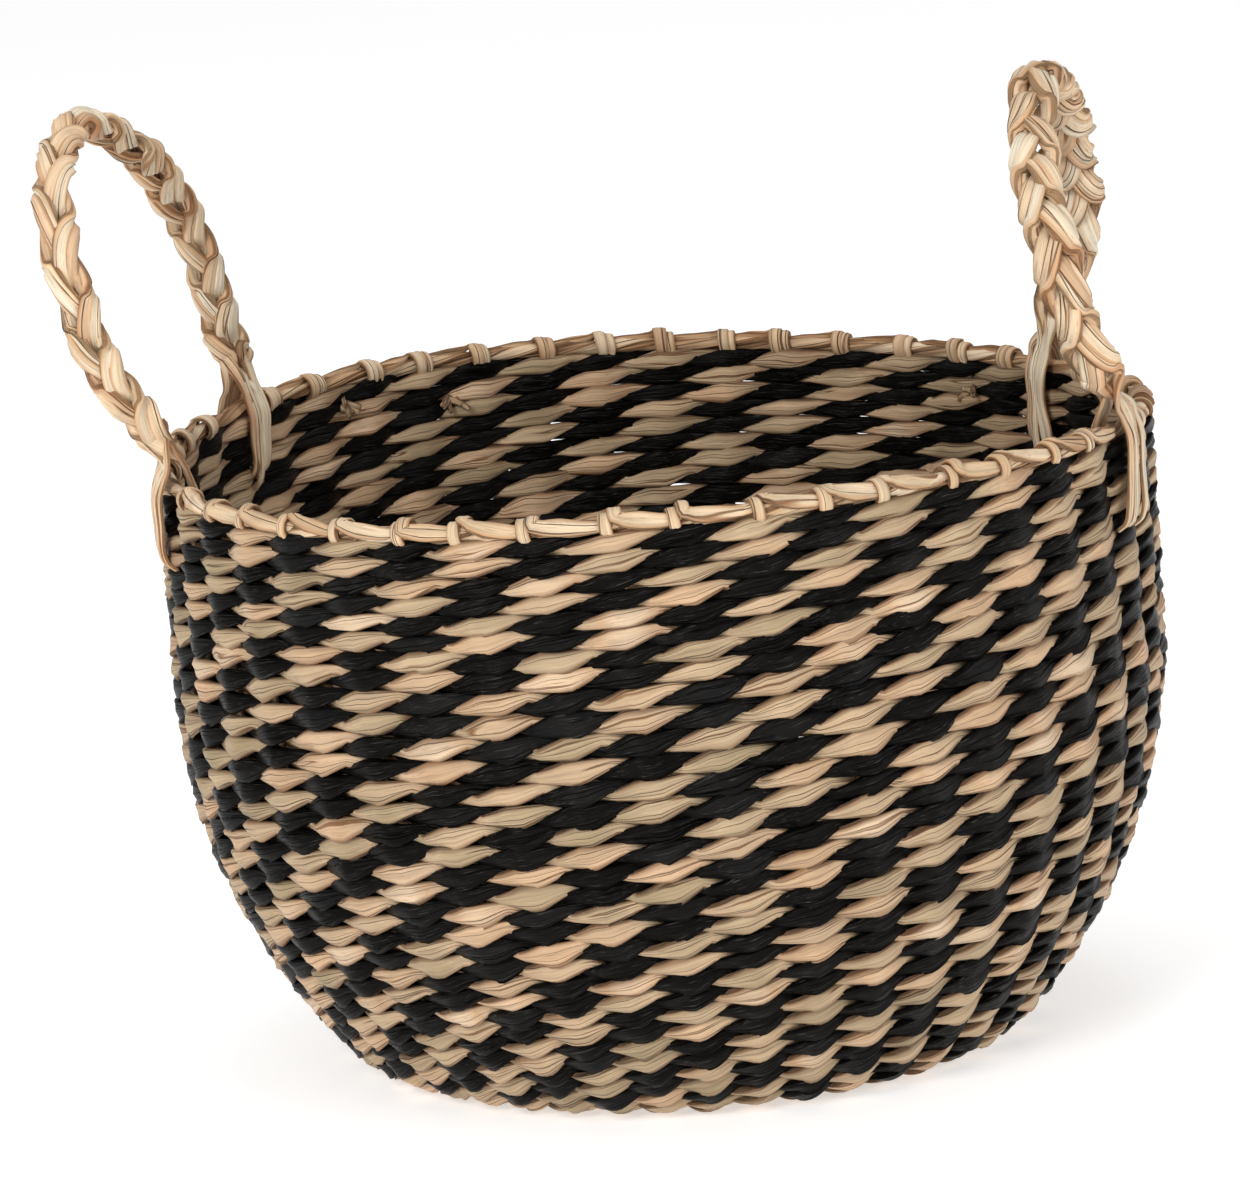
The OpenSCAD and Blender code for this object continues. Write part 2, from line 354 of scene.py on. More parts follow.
def ramp(tree, value, stops):
    made = node(tree, "ShaderNodeValToRGB")
    elements = made.color_ramp.elements
    while len(elements) < len(stops):
        elements.new(0.5)
    for element, (place, colour) in zip(elements, stops):
        element.position = place
        element.color = (*colour, 1.0)
    tree.links.new(value, made.inputs["Fac"])
    return made.outputs["Color"]


def multiply(tree, a, b, share=1.0):
    mix = node(tree, "ShaderNodeMix", data_type="RGBA", blend_type="MULTIPLY")
    mix.inputs["Factor"].default_value = share
    tree.links.new(a, mix.inputs["A"])
    tree.links.new(b, mix.inputs["B"])
    return mix.outputs["Result"]


def grey(value):
    return (value, value, value)


def rush(name, tones, crease_shade, edge_shade, fleck_and_glint, creases, roughness, sheen, bump, specular, tint=(1.0, 1.0, 1.0)):
    """Dried rush: a tone that drifts along the blade, fibres, creases with painted shade in them, painted
    shade at the edges, where blades overlap, and small flecks: brown spots, but on the black rush pale
    painted highlights along its fibres. creases is how closely the creases lie, and tint colours the gloss."""
    material = bpy.data.materials.new(name)
    material.use_nodes = True
    tree = material.node_tree
    shader = tree.nodes["Principled BSDF"]
    grain = node(tree, "ShaderNodeAttribute", attribute_name="grain").outputs["Vector"]
    edge = node(tree, "ShaderNodeAttribute", attribute_name="edge").outputs["Fac"]
    split = node(tree, "ShaderNodeSeparateXYZ")
    tree.links.new(grain, split.inputs[0])
    fibres = streaks(tree, grain, along=25, across=1100, detail=3)
    waves = streaks(tree, grain, along=7, across=creases, detail=0, drift=0.4)
    folds = crease_lines(tree, waves, width=0.024)
    patches = streaks(tree, grain, along=30, across=160, detail=2)
    fleck_and_glint_noise = streaks(tree, grain, along=110, across=2300, detail=2, drift=9.0)

    colour = ramp(tree, split.outputs["Z"], tones)
    colour = multiply(tree, colour, ramp(tree, fibres, [(0.30, grey(0.68)), (0.60, grey(1.0))]))
    # Painted shade in the creases
    colour = multiply(tree, colour, ramp(tree, folds, [(0.0, crease_shade), (0.8, grey(1.0))]))
    # Painted shade near the edges, where blades overlap
    colour = multiply(tree, colour, ramp(tree, edge, [(0.55, grey(1.0)), (0.97, edge_shade)]))
    colour = multiply(tree, colour, ramp(tree, patches, [(0.35, grey(0.84)), (0.6, grey(1.0))]))
    # Flecks: brown spots, but on the black rush pale painted highlights along the fibres
    fleck_and_glint_mix = node(tree, "ShaderNodeMix", data_type="RGBA")
    fleck_and_glint_mix.inputs["B"].default_value = (*fleck_and_glint, 1.0)
    tree.links.new(ramp(tree, fleck_and_glint_noise, [(0.60, grey(0.0)), (0.72, grey(1.0))]), fleck_and_glint_mix.inputs["Factor"])
    tree.links.new(colour, fleck_and_glint_mix.inputs["A"])
    tree.links.new(fleck_and_glint_mix.outputs["Result"], shader.inputs["Base Color"])

    rough = node(tree, "ShaderNodeMapRange")
    rough.inputs["To Min"].default_value = roughness - SMOOTHEST
    rough.inputs["To Max"].default_value = roughness + ROUGHEST
    tree.links.new(fibres, rough.inputs["Value"])
    tree.links.new(rough.outputs["Result"], shader.inputs["Roughness"])

    fine = node(tree, "ShaderNodeBump")
    fine.inputs["Strength"].default_value = bump
    fine.inputs["Distance"].default_value = FIBRE_DEPTH
    tree.links.new(fibres, fine.inputs["Height"])
    coarse = node(tree, "ShaderNodeBump")
    coarse.inputs["Strength"].default_value = bump
    coarse.inputs["Distance"].default_value = CREASE_DEPTH
    tree.links.new(folds, coarse.inputs["Height"])
    tree.links.new(fine.outputs["Normal"], coarse.inputs["Normal"])
    tree.links.new(coarse.outputs["Normal"], shader.inputs["Normal"])
    shader.inputs["Sheen Weight"].default_value = sheen
    shader.inputs["Specular IOR Level"].default_value = specular
    shader.inputs["Specular Tint"].default_value = (*tint, 1.0)
    return material


# In each rush, the crease colour and the edge colour are painted shade, in the creases and where blades
# overlap
NATURAL = rush(
    "rush_natural",
    tones=[
        (0.00, (0.40, 0.30, 0.17)),
        (0.14, (0.49, 0.36, 0.215)),
        (0.32, (0.56, 0.41, 0.25)),
        (0.60, (0.63, 0.44, 0.27)),
        (0.80, (0.68, 0.44, 0.26)),
        (1.00, (0.78, 0.59, 0.40))],
    crease_shade=(0.42, 0.28, 0.18), edge_shade=(0.38, 0.29, 0.22), fleck_and_glint=(0.36, 0.22, 0.12),
    creases=340, roughness=0.6, sheen=0.05, bump=0.9, specular=0.3)
PALE = rush(
    "rush_pale",
    tones=[
        (0.00, (0.74, 0.47, 0.28)),
        (0.35, (0.93, 0.69, 0.45)),
        (1.00, (0.98, 0.87, 0.67))],
    crease_shade=(0.48, 0.31, 0.19), edge_shade=(0.78, 0.60, 0.45), fleck_and_glint=(0.52, 0.33, 0.19),
    creases=250, roughness=0.55, sheen=0.05, bump=1.2, specular=0.3)
RIM = rush(
    "rush_rim",
    tones=[
        (0.00, (0.64, 0.40, 0.22)),
        (0.35, (0.80, 0.58, 0.36)),
        (1.00, (0.90, 0.72, 0.51))],
    crease_shade=(0.42, 0.25, 0.15), edge_shade=(0.66, 0.50, 0.38), fleck_and_glint=(0.46, 0.29, 0.16),
    creases=300, roughness=0.6, sheen=0.05, bump=1.2, specular=0.3)
BLACK = rush(
    "rush_black",
    tones=[
        (0.00, (0.0015, 0.0014, 0.0013)),
        (0.60, (0.003, 0.0028, 0.0026)),
        (1.00, (0.010, 0.010, 0.0105))],
    # The black's fleck colour is a painted highlight along its fibres
    crease_shade=grey(0.4), edge_shade=grey(0.5), fleck_and_glint=(0.050, 0.046, 0.043),
    creases=340, roughness=0.34, sheen=0.0, bump=1.5, specular=0.08, tint=(1.0, 0.9, 0.8))

# ---------------------------------------------------------------- twined wefts

# Rings of points from one stake to the next
RINGS_PER_STEP = 12
WEFT_SWING = 2.6 * MM
WEFT_HALF_WIDTH = 4.25 * MM
WEFT_HALF_THICK = 1.6 * MM
# Its half-thickness where it crosses its partner, as a share
WEFT_THIN = 0.72
# How unevenly the strands lie: in width as a share, up and down, in and out, in tilt (radians) and in
# the turn at which they cross
WEFT_UNEVEN = 0.12
WEFT_DRIFT = 0.36 * MM
WEFT_BULGE = 0.35 * MM
WEFT_ROLL = 0.18
CROSSING_SHIFT = 0.26
# How far a strand tilts as it goes in and comes out, in radians
WEFT_TILT = 0.35
# How sharply it folds over a stake: 0 is a wave, 1 a zigzag
WEFT_FOLD = 0.45
# A strand's half-width where it crosses its partner, as a share of its half-width over a stake
WEFT_PINCH = 0.96
# How near to its crossing a strand is squeezed into half the height of its row
NOTCH = np.radians(74)
# No strand is squeezed narrower than this share of its width
LEAST_WIDTH = 0.4
# Shares of its width and of its swing that a strand has left at its end, and how fast it comes to
# that: 1 takes one stake
END_WIDTH = 0.35
END_SWING = 0.3
END_RATE = 0.7
# The share of their swing that the strands have at the foot of the wall, and the height over which it
# grows to the whole
FOOT_SWING = 0.6
FOOT_HEIGHT = 26 * MM
# Length up the wall at which the black wefts are laid in
BLACK_START = 11 * MM
ROUND_RISE = 2 * ROW_H
# The rows are packed closer together in a band below the rim
PACK_FROM = WALL_LENGTH - 48 * MM
PACK_SHARE = 0.82
# How much of that packing the strands' width takes up
PACK_SQUEEZE = 0.85
# Where the top row would lie if all rows were evenly laid. It really ends just under the rim cord
TOP_GAP = 0.3 * ROW_H
TOP_ROW = PACK_FROM + (WALL_LENGTH - TOP_GAP - PACK_FROM) / PACK_SHARE
# The two pairs end half a turn apart, under the handles. The rows below an end start to climb at
# END_SHARE of the half turn, and the strands themselves stop at LAST_SHARE
END_ANGLE = np.radians(16)
END_SHARE = 0.86
LAST_SHARE = 0.95
START_RISE = np.mod(2 * np.pi * TOP_ROW / ROUND_RISE - END_ANGLE, np.pi) / (2 * np.pi) * ROUND_RISE
# Height of the band below the rim in which the rows are evened out
TOP_BAND = 95 * MM
# Frayed ends inside: the direction in degrees and how far below the rim in millimetres
TUFTS = ([(116, 15), (46, 14)], [(132, 9)])
TUFT_BLADES = 6
# Near the hub, before the added stakes begin, the base is twined over fewer stakes
INNER_STAKES = 23
INNER_ZONE_R = 62 * MM


def fold_wave(turn, sharpness):
    """A cosine that is partly straightened, because a blade bends at a stake and runs straight on."""
    straight = 2 / np.pi * np.arcsin(np.clip(np.cos(turn), -1, 1))
    return (1 - sharpness) * np.cos(turn) + sharpness * straight


def top_lift(angle, s):
    """Evens out the top rows: the two pairs end half a turn apart, and where one ends, the rows below
    climb into its place."""
    share = np.mod(angle - END_ANGLE, np.pi) / np.pi
    lift = ROW_H * np.maximum(1 - share, (share - END_SHARE) / (1 - END_SHARE))
    return lift * np.clip((s - TOP_ROW + TOP_BAND) / (TOP_BAND - ROW_H), 0, 1)


def packed(s):
    """The length up the wall at which a row really lies, when evenly laid rows would put it at s."""
    return np.minimum(s, PACK_FROM) + PACK_SHARE * np.maximum(s - PACK_FROM, 0)


def notch(turn, at):
    """0 where the two strands of a pair cross, rising to 1 on both sides of it."""
    away = np.abs(np.mod(turn - at + np.pi, 2 * np.pi) - np.pi)
    return np.clip(away / NOTCH, 0, 1)


def weft(rng, steps, stakes, height, phase):
    """One weft strand that passes in front of one stake and behind the next. steps is how far it has
    gone, counted in stakes; height gives the length up the wall there. Where it goes in it leaves the
    lower half of the row to its partner, and where it comes out it leaves the upper half."""
    count = len(steps)
    turn = np.pi * steps + phase
    angle = 2 * np.pi * steps / stakes
    stitch = RINGS_PER_STEP
    wide = WEFT_HALF_WIDTH * (1 + WEFT_UNEVEN * smooth_noise(rng, 1, count, stitch)[:, 0])
    drift = WEFT_DRIFT * smooth_noise(rng, 1, count, stitch * 1.3)[:, 0]
    bulge = WEFT_BULGE * smooth_noise(rng, 1, count, stitch)[:, 0]
    roll = WEFT_ROLL * smooth_noise(rng, 1, count, stitch)[:, 0]
    shift = CROSSING_SHIFT * smooth_noise(rng, 2, count, stitch)
    s = height(steps)
    wide *= WEFT_PINCH + (1 - WEFT_PINCH) * np.abs(np.cos(turn))
    wide *= 1 - PACK_SQUEEZE * (1 - PACK_SHARE) * np.clip((s - PACK_FROM) / (2 * ROW_H), 0, 1)
    ending = np.clip(END_RATE * (steps[-1] - steps), 0, 1)
    wide *= END_WIDTH + (1 - END_WIDTH) * ending
    top = wide * notch(turn + shift[:, 0], -np.pi / 2)
    low = -wide * notch(turn + shift[:, 1], np.pi / 2)
    half_width = np.maximum((top - low) / 2, LEAST_WIDTH * wide)
    lean = STAKE_LEAN * (1 - np.clip(s, 0, WALL_LENGTH) / WALL_LENGTH)
    at_end = END_SWING + (1 - END_SWING) * ending
    at_foot = FOOT_SWING + (1 - FOOT_SWING) * np.clip(s / FOOT_HEIGHT, 0, 1)
    out = MID_WALL + (WEFT_SWING * fold_wave(turn, WEFT_FOLD) + bulge) * np.minimum(at_end, at_foot)
    centre, outward, upward = wall_point(angle + lean, s + (top + low) / 2 + drift, out)
    facing = WEFT_TILT * np.sin(turn) + roll
    normal = np.cos(facing)[:, None] * outward + np.sin(facing)[:, None] * upward
    half_thick = WEFT_HALF_THICK * (WEFT_THIN + (1 - WEFT_THIN) * np.abs(np.cos(turn)))
    tone = 0.5 + 0.5 * smooth_noise(rng, 1, count, stitch)[:, 0]
    return blade(rng, centre, normal, half_width, half_thick, sides=14, lumps=0.22, lump_length=stitch,
                 tone=tone, grain_width=WEFT_HALF_WIDTH)


def wall_height(pair, stakes=STAKES):
    """The length up the wall of a pair's strands, as a function of the stakes that they have passed."""
    def height(steps):
        s = ROUND_RISE * (steps / stakes - pair / 2) + START_RISE
        return packed(np.minimum(s + top_lift(2 * np.pi * steps / stakes, s), TOP_ROW))
    return height


def steps_between(a, b):
    return np.linspace(a, b, int((b - a) * RINGS_PER_STEP))


def halves(strand):
    """A long strand as two pieces that meet at a shared ring."""
    rings, grain = strand
    middle = len(rings) // 2
    return (rings[:middle + 1], grain[:middle + 1]), (rings[middle:], grain[middle:])


def add_wefts():
    """Two pairs of wefts that chase each other round. The count of stakes is odd, so that each pair
    steps by one stake every time round, and the colours make blocks two rows high. The black strands
    are laid in a little above the base, and take over from natural ones."""
    zone_start = (INNER_ZONE_R - FLAT_R - START_RISE) / ROUND_RISE * STAKES
    last = ((TOP_ROW - START_RISE) / ROUND_RISE - (1 - LAST_SHARE) / 2) * STAKES
    black_from = (BLACK_START - START_RISE) / ROUND_RISE * STAKES
    near_hub = []
    for pair in (0, 1):
        rng = np.random.default_rng(100 + pair)
        shift = round(pair * STAKES / 2)
        height = wall_height(pair)
        whole = weft(rng, steps_between(shift, shift + last), STAKES, height, 0)
        laid_in = weft(rng, steps_between(shift + black_from, shift + last), STAKES, height, np.pi)
        for colour, strand, material in (("natural", whole, NATURAL), ("black", laid_in, BLACK)):
            for part, piece_of in enumerate(halves(strand)):
                blades = [piece_of]
                if colour == "natural" and part == 1:
                    blades += tufts(rng, TUFTS[pair])
                piece = mesh_of_blades(f"weft_{colour}_{pair + 1}_{part + 1}", blades, material)
                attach(piece, "basket")
                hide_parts("wall_weave_outer", "wall_weave_inner")

        floor = [weft(rng, steps_between(shift + zone_start, shift), STAKES, height, 0),
                 weft(rng, steps_between(shift + zone_start, shift + black_from), STAKES, height, np.pi)]
        add_base_wefts(f"weft_base_{pair + 1}", floor)

        zone_end = (shift + zone_start) / STAKES * INNER_STAKES + 0.5
        rounds = (INNER_ZONE_R - HUB_R + 2 * MM) / ROUND_RISE
        inner = steps_between(zone_end - rounds * INNER_STAKES, zone_end)
        height = wall_height(pair, INNER_STAKES)
        near_hub += [weft(rng, inner, INNER_STAKES, height, phase) for phase in (0, np.pi)]
    add_base_wefts("weft_base_inner", near_hub)


def tufts(rng, places):
    """Short frayed weft ends that stick out of the wall's inner face."""
    blades = []
    for angle, below in places:
        for _ in range(TUFT_BLADES):
            root = np.radians(angle) + rng.uniform(-1.8, 1.8) * MM / RIM_R
            spoke = np.array([np.cos(root), np.sin(root), 0.0])
            around = np.array([-np.sin(root), np.cos(root), 0.0])
            up = np.array([0.0, 0.0, 1.0])
            start = (RIM_R - 1 * MM) * spoke + (RIM_Z - below * MM + rng.uniform(-1.5, 1.5) * MM) * up
            way = -spoke * rng.uniform(0.7, 1) + around * rng.uniform(-0.9, 0.9)
            way = way + up * rng.uniform(-0.3, 0.5)
            t = np.linspace(0, 1, 10)[:, None]
            line = start + t * way * rng.uniform(5, 7.5) * MM - t ** 2 * up * rng.uniform(0, 3) * MM
            facing = np.broadcast_to(around, line.shape)
            wide = np.linspace(1.7, rng.uniform(0.6, 1.3), 10) * MM
            blades.append(blade(rng, line, facing, wide, 0.6 * MM, 8, lumps=0.4, lump_length=3))
    return blades


def add_base_wefts(name, blades):
    piece = mesh_of_blades(name, blades, NATURAL)
    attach(piece, "basket")
    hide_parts("base_weave_under", "base_weave_top")


# ---------------------------------------------------------------- stakes, hub and rim

STAKE_HALF_WIDTH = 2.3 * MM
STAKE_HALF_THICK = 0.9 * MM
STAKE_RINGS = 70
# Where the main stakes start under the hub, and the added ones between them
MAIN_START_R = HUB_R - 4 * MM
ADDED_START_R = 50 * MM
# How far a stake wanders sideways, in radians round the basket
STAKE_WANDER = 0.004
# The hub's blades: how many lie each way, how far apart, and how they weave over and under
HUB_STRIPS = 6
HUB_SPACING = 6.4 * MM
HUB_SWING = 1.1 * MM
HUB_HALF_WIDTH = 2.9 * MM
HUB_RINGS = 44
# The rim cord's two plies
CORD_RINGS_PER_STAKE = 14
PLY_SWING = 1.1 * MM
PLY_HALF_WIDTH = 2.1 * MM
PLY_HALF_THICK = 1.3 * MM
# A stake's end along the cord: shares of the way to the next knot, and there its distance from the
# cord's middle as a share of the knot's, its half-width and its half-thickness in millimetres
RUN_PLACES = (0, 0.3, 0.8, 1)
RUN_SINK = (1.0, 0.62, 0.42, 0.15)
RUN_HALF_WIDTH = (2.4, 3.1, 2.0, 1.4)
RUN_HALF_THICK = (1.0, 1.4, 1.1, 0.8)


def add_stakes():
    """The stakes run from the hub, or from between their neighbours, up inside the wall to the rim."""
    rng = np.random.default_rng(7)
    groups = {"stakes_main": [], "stakes_added": []}
    for i in range(STAKES):
        main = i % 2 == 0 and i < STAKES - 1
        start_r = MAIN_START_R if main else ADDED_START_R
        s = np.linspace(start_r - FLAT_R, WALL_LENGTH, STAKE_RINGS)
        lean = STAKE_LEAN * (1 - np.clip(s, 0, WALL_LENGTH) / WALL_LENGTH)
        angle = 2 * np.pi * i / STAKES + lean + STAKE_WANDER * smooth_noise(rng, 1, STAKE_RINGS, 12)[:, 0]
        centre, outward, _ = wall_point(angle, s, np.full(STAKE_RINGS, MID_WALL))
        made = blade(rng, centre, outward, STAKE_HALF_WIDTH, STAKE_HALF_THICK, 8)
        groups["stakes_main" if main else "stakes_added"].append(made)
    for name, blades in groups.items():
        piece = mesh_of_blades(name + "_rush", blades, NATURAL)
        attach(piece, "basket")
        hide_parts(name)


def add_hub():
    """The main stakes' crossing: a small plain-weave patch of flat blades."""
    rng = np.random.default_rng(8)
    blades = []
    reach = HUB_R + 4 * MM
    for way in (0, 1):
        for i in range(HUB_STRIPS):
            offset = (i - (HUB_STRIPS - 1) / 2) * HUB_SPACING
            half = np.sqrt(max(reach ** 2 - offset ** 2, 0))
            along = np.linspace(-half, half, HUB_RINGS)
            over = np.cos(np.pi * (along / HUB_SPACING + i + way + 0.5))
            height = -MID_WALL + HUB_SWING * over
            flat = np.full(HUB_RINGS, offset)
            line = np.stack([along, flat, height] if way == 0 else [flat, along, height], -1)
            up = np.broadcast_to([0.0, 0.0, 1.0], line.shape)
            blades.append(blade(rng, line, up, HUB_HALF_WIDTH, STAKE_HALF_THICK, 10))
    piece = mesh_of_blades("hub_crossing", blades, NATURAL)
    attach(piece, "basket")
    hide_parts("base_hub")


def ring_frame(angle):
    spoke = np.stack([np.cos(angle), np.sin(angle), np.zeros_like(angle)], -1)
    up = np.broadcast_to([0.0, 0.0, 1.0], spoke.shape)
    return spoke, up


def add_rim():
    """A two-ply cord, bound by each stake's end, which then lies along the cord to the next knot."""
    rng = np.random.default_rng(9)
    count = STAKES * CORD_RINGS_PER_STAKE
    angle = np.linspace(0, 2 * np.pi, count)
    spoke, up = ring_frame(angle)
    plies = []
    for ply in (0, 1):
        turn = STAKES / 3 * angle + ply * np.pi + 0.5 * smooth_noise(rng, 1, count, 20)[:, 0]
        away = np.cos(turn)[:, None] * spoke + np.sin(turn)[:, None] * up
        centre = RIM_R * spoke + (RIM_Z - 0.3 * MM) * up + PLY_SWING * away
        wide = PLY_HALF_WIDTH * (1 + 0.14 * smooth_noise(rng, 1, count, 9)[:, 0])
        plies.append(blade(rng, centre, away, wide, PLY_HALF_THICK, 10, lump_length=7))
    cord = mesh_of_blades("rim_cord_rush", plies, RIM)
    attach(cord, "basket")
    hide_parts("rim_cord")

    knots = []
    for i in range(STAKES):
        angle_i = 2 * np.pi * (i + rng.uniform(-0.12, 0.12)) / STAKES
        if not near_tails(angle_i):
            knots.append(rim_knot(rng, angle_i))
    piece = mesh_of_blades("rim_loops_rush", knots, RIM)
    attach(piece, "basket")
    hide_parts("rim_loops")


def rim_knot(rng, angle):
    """One stake's end: up inside the wall, almost one and a half turns round the cord, then along it,
    where it thins towards the next knot."""
    first = np.radians(rng.uniform(190, 215))
    last = first - np.radians(rng.uniform(480, 530))
    slip = rng.uniform(3.6, 5.4) * MM
    run = rng.uniform(23, 27) * MM
    reach = rng.uniform(3.1, 3.5) * MM
    wrap = np.linspace(0, 1, 30)
    turn = first + (last - first) * wrap
    # Some of the knots stand open on one side
    loose = rng.choice([0, 0, 0.4, 1.3]) * MM * np.exp(-((turn - last - np.radians(40)) / 0.7) ** 2)
    radius = reach + 0.8 * MM * wrap + loose
    neck = np.array([
        (-slip / 2, -0.3 * MM, -9 * MM),
        (-slip / 2, -0.9 * MM, -5.5 * MM),
        (-slip / 2, -2.6 * MM, -3 * MM)])
    around = np.stack([slip * (wrap - 0.5), radius * np.cos(turn), radius * np.sin(turn)], -1)
    t = np.linspace(0.12, 1, 9)
    lay = last + (np.radians(rng.uniform(0, 25)) - np.mod(last, 2 * np.pi)) * np.minimum(t * 1.4, 1)
    sink = np.interp(t, RUN_PLACES, RUN_SINK) * reach
    along = np.stack([slip / 2 + run * t, sink * np.cos(lay), sink * np.sin(lay)], -1)
    path = np.vstack([neck, around, along])
    wide = np.concatenate([
        np.full(len(neck), 1.6),
        np.linspace(2.0, 2.4, len(around)),
        np.interp(t, RUN_PLACES, RUN_HALF_WIDTH)])
    thick = np.concatenate([
        np.full(len(neck), 0.8),
        np.full(len(around), 0.9),
        np.interp(t, RUN_PLACES, RUN_HALF_THICK)])
    path = evenly(np.hstack([path, wide[:, None] * rng.uniform(0.9, 1.1), thick[:, None]]), 84)
    spoke, up = ring_frame(angle + path[:, 0] / RIM_R)
    centre = (RIM_R + path[:, 1])[:, None] * spoke + (RIM_Z + path[:, 2])[:, None] * up
    away = unit(path[:, 1][:, None] * spoke + path[:, 2][:, None] * up)
    return blade(rng, centre, away, path[:, 3] * MM, path[:, 4] * MM, 12, lump_length=9)


# ---------------------------------------------------------------- handles

# For each handle: the directions of its front and back leg in degrees, how high it rises over the
# fold, how stout its braid is, the length of one braiding round, how far its tails reach down the wall,
# and how wide the tails lie at their lower end, front and back, as a share of their width at the rim.
# shape is its line from the front leg to the back leg: along, from -1 to 1, then outward and up, both
# as shares of the rise.
HANDLES = {
    "left": {
        "legs": (170.6 + 22.6, 170.6 - 20.6),
        "rise": 112 * MM,
        "stout": 1.04,
        "pitch": 62 * MM,
        "tail_drop": 24 * MM,
        "tail_fan": (0.45, 0.75),
        "shape": [
            (-1, 0, 0), (-1.19, 0.16, 0.27), (-1.18, 0.27, 0.64), (-0.94, 0.30, 0.89), (-0.47, 0.26, 0.985),
            (0.20, 0.16, 0.81), (0.78, 0.10, 0.51), (1.02, 0.05, 0.18), (1, 0, 0)],
    },
    "right": {
        "legs": (4.3 - 27.3, 4.3 + 27.3),
        "rise": 104 * MM,
        "stout": 1.2,
        "pitch": 66 * MM,
        "tail_drop": 30 * MM,
        "tail_fan": (1.25, 1.35),
        "shape": [
            (-1, 0, 0), (-1.06, -0.09, 0.18), (-1.04, -0.17, 0.49), (-0.84, -0.20, 0.75),
            (-0.41, -0.16, 0.94), (0, -0.07, 0.97), (0.63, 0.07, 0.71), (0.99, 0.12, 0.32), (1, 0, 0)],
    },
}
FOLD_Z = frame["joints"][0]["pos_m"][2]
BRAID_SWING = 4.6 * MM
BRAID_DEPTH = 2.8 * MM
# How sharply a strand folds at the braid's edges: 0 is a wave, 1 a zigzag
BRAID_FOLD = 0.8
# How far a strand's flat side turns from facing along the braid's width to facing out of it, and how
# suddenly: a lower power turns it more suddenly
BRAID_LAY = np.radians(74)
LAY_POWER = 0.4
# The braid is slimmer over this length at its ends
BRAID_END = 16 * MM
# Where a strand's three blades lie across it and how far they stand out of it, in millimetres
BLADE_PLACES = ((-1.7, -0.1), (0.1, 0.8), (1.8, 0.0))
# Half-widths and half-thicknesses of a stoutness of 1, in millimetres
BLADE_HALF_WIDTH = 2.35
BLADE_HALF_THICK = 1.3
TAIL_SIZE = (1.95, 0.7)
# How far apart the strands and their blades cross the rim, in millimetres
TAIL_STRAND_STEP = 4.0
TAIL_BLADE_STEP = 1.7
# No rim knots within this angle of a leg
TAIL_GROUP_HALF = np.radians(3.6)


def near_tails(angle):
    legs = np.radians([leg for handle in HANDLES.values() for leg in handle["legs"]])
    return np.min(np.arccos(np.clip(np.cos(angle - legs), -1, 1))) < TAIL_GROUP_HALF


def curve_through(points, count):
    """A smooth curve through points, with its own points evenly spaced along it."""
    points = np.asarray(points, float)
    padded = np.vstack([2 * points[0] - points[1], points, 2 * points[-1] - points[-2]])
    u = np.linspace(0, len(points) - 1, 12 * len(points))
    k = np.minimum(u.astype(int), len(points) - 2)
    t = (u - k)[:, None]
    p0, p1, p2, p3 = (padded[k + i] for i in range(4))
    dense = 0.5 * (2 * p1 + (p2 - p0) * t + (2 * p0 - 5 * p1 + 4 * p2 - p3) * t ** 2
                   + (3 * p1 - p0 - 3 * p2 + p3) * t ** 3)
    return evenly(dense, count)


def evenly(line, count):
    """The rows of a line, whose first three columns are its points, again at even lengths along it."""
    length = lengths_along(line[:, :3])
    at = np.linspace(0, length[-1], count)
    return np.stack([np.interp(at, length, column) for column in line.T], -1)


def handle_line(handle):
    """The middle line of a handle from its front leg to its back leg, and its outward direction."""
    front, back = np.radians(handle["legs"])
    a = RIM_R * np.array([np.cos(front), np.sin(front)])
    b = RIM_R * np.array([np.cos(back), np.sin(back)])
    middle, along = (a + b) / 2, (b - a) / 2
    out = unit(middle)
    rise = handle["rise"]
    points = []
    for c, o, h in handle["shape"]:
        flat = middle + c * along + o * rise * out
        points.append((flat[0], flat[1], FOLD_Z + h * rise))
    return curve_through(points, 400), np.array([out[0], out[1], 0.0])


def tail_points(rng, leg, slide, outside, drop, fan):
    """Where one tail blade goes: over the rim and down one face of the wall, into the weave. fan is
    how wide the blades lie at the lower end, as a share of their width at the rim."""
    face = 1 if outside else -1
    drop *= rng.uniform(0.88, 1.1)
    wall = WALL_T / 2 + rng.uniform(0.8, 2.4) * MM
    close = fan * rng.uniform(0.9, 1.1)
    kink = rng.uniform(-1.2, 1.2) * MM
    # Out from the rim's middle circle, up from its height, share of the slide, and sideways kink
    places = [
        (3.0 * MM, 9.0 * MM, 1.0, 0),
        (4.9 * MM, 4.5 * MM, 1.1, 0),
        (wall + 1.0 * MM, -2 * MM, 1.05, 0),
        (wall + 0.9 * MM, -drop * 0.45, 1.0, kink),
        (wall + 0.6 * MM, -drop * 0.8, close, 0),
        (wall - 0.6 * MM, -drop, close, 0),
        (wall - 4.0 * MM, -drop - 3 * MM, close, 0)]
    points, facings = [], []
    for away, z, spread, extra in places:
        angle = np.radians(leg) + (slide * spread + extra) / RIM_R
        spoke = np.array([np.cos(angle), np.sin(angle), 0.0])
        points.append((RIM_R + face * away) * spoke + np.array([0, 0, RIM_Z + z]))
        facings.append(face * spoke)
    return points, facings


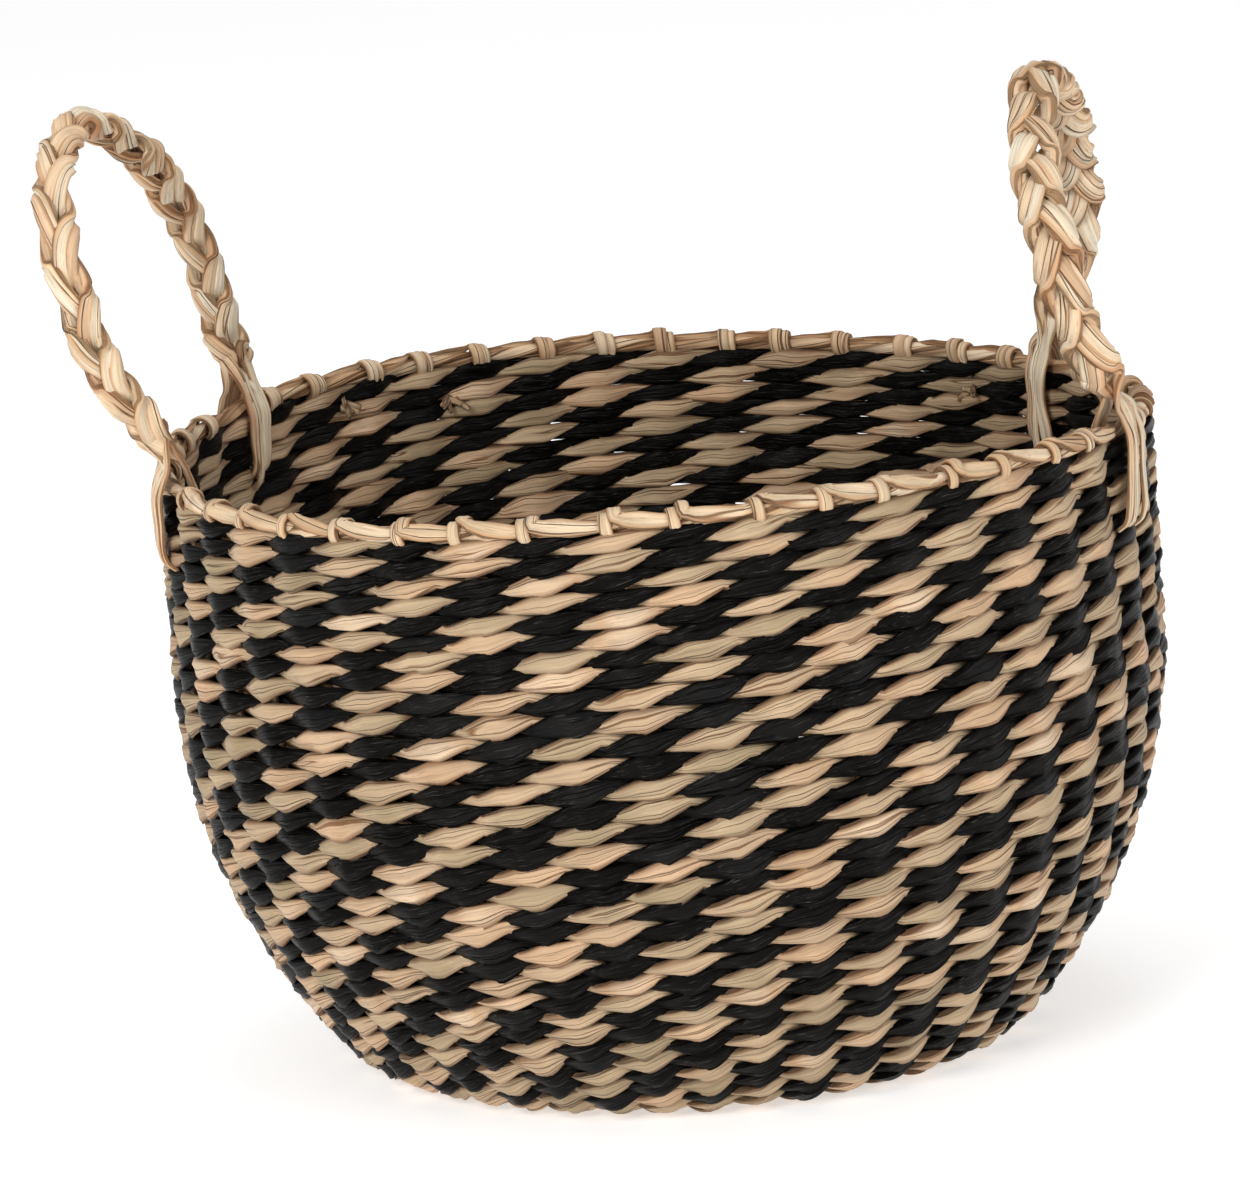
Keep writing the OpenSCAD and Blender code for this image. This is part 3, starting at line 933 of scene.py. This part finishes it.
def braid_strand(rng, line, out, phase, handle, wobble):
    """One strand of the braid: three blades that lie together, and part over the rim at each end. Its
    path is a figure of eight round the handle's line, and its phase sets it apart from the others."""
    count = len(line)
    length = lengths_along(line)
    along = unit(np.gradient(line, axis=0))
    side = unit(out - (along @ out)[:, None] * along)
    face = np.cross(along, side)
    turn = 2 * np.pi * length / handle["pitch"] + phase + wobble
    turn += 0.18 * smooth_noise(rng, 1, count, 30)[:, 0]
    from_end = np.minimum(length, length[-1] - length)
    stout = handle["stout"]
    full = stout * (0.85 + 0.15 * np.clip(from_end / BRAID_END, 0, 1))
    swing = BRAID_SWING * full * fold_wave(turn - np.pi / 2, BRAID_FOLD)
    swing *= 1 + 0.22 * smooth_noise(rng, 1, count, 25)[:, 0]
    depth = BRAID_DEPTH * full * np.sin(2 * turn)
    centre = line + swing[:, None] * side + depth[:, None] * face
    lay = BRAID_LAY * np.sign(np.cos(turn)) * np.abs(np.cos(turn)) ** LAY_POWER
    normal = np.cos(lay)[:, None] * side + np.sin(lay)[:, None] * face
    strand_along = unit(np.gradient(centre, axis=0))
    across = unit(np.cross(strand_along, normal))
    normal = np.cross(across, strand_along)
    blades = []
    strand = round(phase / (2 * np.pi / 3))
    for k, (spread, lift) in enumerate(BLADE_PLACES):
        wander = smooth_noise(rng, 2, count, 22) * 0.5
        shift = (spread + wander[:, 0]) * MM * full
        raise_by = (lift + 0.6 * wander[:, 1]) * MM
        path = centre + shift[:, None] * across + raise_by[:, None] * normal
        slide = ((strand - 1) * TAIL_STRAND_STEP + (k - 1) * TAIL_BLADE_STEP) * MM
        outside = (strand + k) % 2 == 0
        thick = BLADE_HALF_THICK * stout * (1 + 0.5 * np.sin(turn) ** 2)
        blades.append(braid_blade(rng, path, normal, thick, slide, outside, handle))
    return blades


def braid_blade(rng, path, normal, thick, slide, outside, handle):
    """One blade along its path in the braid, which runs on into a tail at each end."""
    trim = 12
    keep = np.linspace(trim, len(path) - 1 - trim, 150).astype(int)
    wide = np.full(len(keep), BLADE_HALF_WIDTH * handle["stout"])
    rows = np.hstack([path[keep], normal[keep], wide[:, None], thick[keep][:, None]])
    ends = []
    for leg, fan in zip(handle["legs"], handle["tail_fan"]):
        points, facings = tail_points(rng, leg, slide, outside, handle["tail_drop"], fan)
        size = np.tile(TAIL_SIZE, (len(points), 1))
        ends.append(np.hstack([points, facings, size]))
    line = np.vstack([ends[0][::-1], rows, ends[1]])
    for i in range(1, len(line)):
        if line[i, 3:6] @ line[i - 1, 3:6] < 0:
            line[i, 3:6] *= -1
    count = 520
    line = curve_through(line, count)
    uneven = 1 + 0.12 * smooth_noise(rng, 2, count, 14)
    tone = 0.5 + 0.5 * smooth_noise(rng, 1, count, 60)[:, 0]
    wide = line[:, 6] * MM * uneven[:, 0]
    thick = line[:, 7] * MM * uneven[:, 1]
    facing = unit(line[:, 3:6])
    return blade(rng, line[:, :3], facing, wide, thick, sides=12, lumps=0.2, lump_length=12, tone=tone)


def add_handles():
    for side_name, handle in HANDLES.items():
        line, out = handle_line(handle)
        own = np.random.default_rng(40 if side_name == "right" else 41)
        wobble = 0.6 * smooth_noise(own, 1, len(line), 70)[:, 0]
        for i, letter in enumerate("abc"):
            rng = np.random.default_rng(20 + i + (10 if side_name == "right" else 0))
            blades = braid_strand(rng, line, out, 2 * np.pi * i / 3, handle, wobble)
            strand = mesh_of_blades(f"{side_name}_braid_{letter}", blades, PALE)
            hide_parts(f"{side_name}_strand_{letter}")
            if letter == "a":
                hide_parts(side_name + "_front_tails", side_name + "_back_tails")
            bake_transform(strand)


add_camera(RIM_Z)
add_studio()
add_wefts()
add_stakes()
add_hub()
add_rim()
add_handles()
